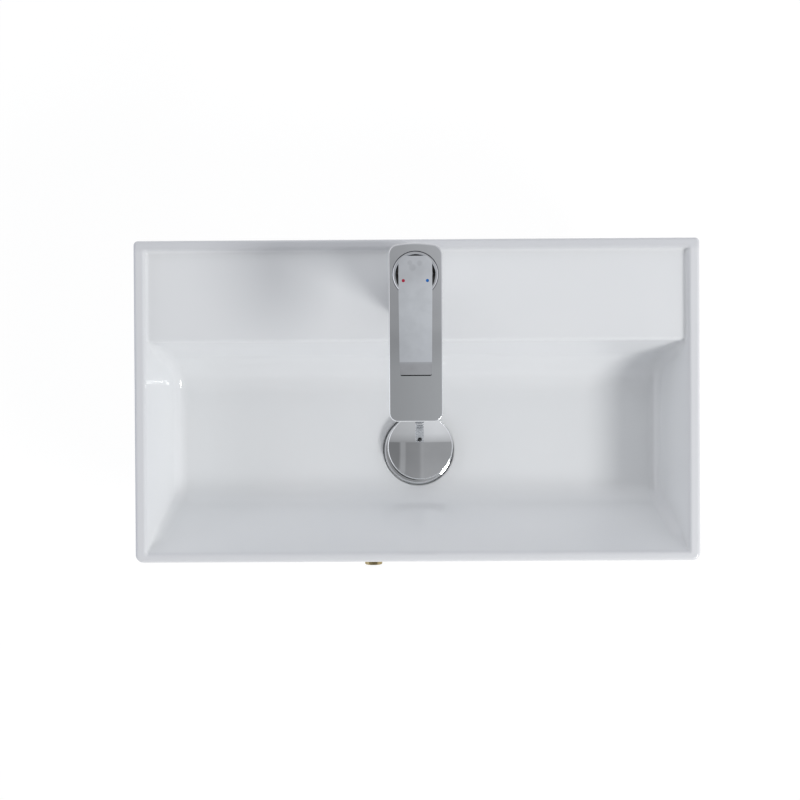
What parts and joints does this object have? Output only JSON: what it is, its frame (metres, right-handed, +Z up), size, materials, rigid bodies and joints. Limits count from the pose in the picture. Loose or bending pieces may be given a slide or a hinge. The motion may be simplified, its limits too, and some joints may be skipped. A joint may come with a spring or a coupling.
{
  "type": "bathroom sink",
  "caption": "Rectangular ceramic wash basin with flat rear tap deck, chrome single-lever mixer, domed press-to-close waste and a braided supply hose.",
  "frame": {"origin": "midway between the two wall-bolt holes, on the basin's flat rear face", "axes": "+Z up, +Y into the wall along the bolt holes, +X to the right along the wall as seen from the front"},
  "size_m": [0.5996, 0.3701, 0.3842],
  "materials": {
    "glaze": "white vitreous glaze, glossy",
    "chrome_body": "polished chrome plate",
    "chrome_ring": "polished chrome plate",
    "chrome_lever": "polished chrome plate",
    "chrome_cap": "mirror chrome plate",
    "brass": "machined brass",
    "steel": "plain stainless steel",
    "zinc": "zinc plated",
    "braid": "stainless wire braid over rubber",
    "black_rubber": "matt rubber",
    "white_rubber": "soft foam rubber",
    "white_plastic": "moulded plastic",
    "grey_plastic": "moulded plastic",
    "alumina": "lapped alumina",
    "red_enamel": "inlaid enamel",
    "blue_enamel": "inlaid enamel"
  },
  "bodies": {
    "sink": {"basin": "glaze", "mixer_body": "chrome_body", "base_gasket": "black_rubber", "aerator_housing": "chrome_body", "aerator_screen": "white_plastic", "aerator_washer": "black_rubber", "cartridge_shell": "grey_plastic", "cartridge_seals": "black_rubber", "fixed_disc": "alumina", "retaining_nut": "brass", "cover_ring": "chrome_ring", "mounting_stud": "zinc", "horseshoe_rubber": "black_rubber", "horseshoe_plate": "zinc", "stud_nut": "brass", "hose_inlet_fitting": "brass", "hose_ferrule_top": "steel", "supply_hose": "braid", "hose_ferrule_end": "steel", "hose_end_tail": "brass", "waste_body": "chrome_cap", "waste_latch_housing": "white_plastic", "waste_spring": "steel", "waste_top_washer": "white_rubber", "waste_taper_washer": "black_rubber", "waste_slip_washer": "white_plastic", "waste_backnut": "grey_plastic", "tail_pipe": "chrome_body", "tail_seal": "black_rubber"},
    "turner": {"cartridge_rotor": "grey_plastic", "stem_pivot_pin": "steel"},
    "handle": {"lever": "chrome_lever", "lever_stem": "zinc", "lever_grub_screw": "steel", "lever_screw_plug": "grey_plastic", "hot_index_dot": "red_enamel", "cold_index_dot": "blue_enamel"},
    "disc": {"moving_disc": "alumina", "disc_carrier": "white_plastic"},
    "plug": {"waste_cap": "chrome_cap", "waste_cap_seal": "black_rubber", "waste_plunger": "grey_plastic"},
    "swivel_nut": {"hose_nut": "brass", "hose_nut_washer": "black_rubber"}
  },
  "joints": [
    {"name": "lever_turn", "type": "hinge", "parent": "sink", "child": "turner", "pos_m": [0, -0.0605, 0.206], "axis": [0, 0, 1], "range_deg": [-45, 45]},
    {"name": "lever_lift", "type": "hinge", "parent": "turner", "child": "handle", "pos_m": [0, -0.0605, 0.206], "axis": [-1, 0, 0], "range_deg": [0, 20]},
    {"name": "disc_slide", "type": "slide", "parent": "turner", "child": "disc", "axis": [0, -1, 0], "range_m": [0, 0.00548]},
    {"name": "cap_press", "type": "slide", "parent": "sink", "child": "plug", "axis": [0, 0, 1], "range_m": [-0.0044, 0], "stiffness_N_per_m": 900, "springref_m": 0.004, "deforming": ["waste_spring"]},
    {"name": "nut_spin", "type": "hinge", "parent": "sink", "child": "swivel_nut", "pos_m": [-0.057, -0.3622, -0.1565], "axis": [0, -1, 0], "continuous": true}
  ],
  "couplings": [
    {"joint": "disc_slide", "follows": "lever_lift", "m_per_rad": 0.015677}
  ]
}
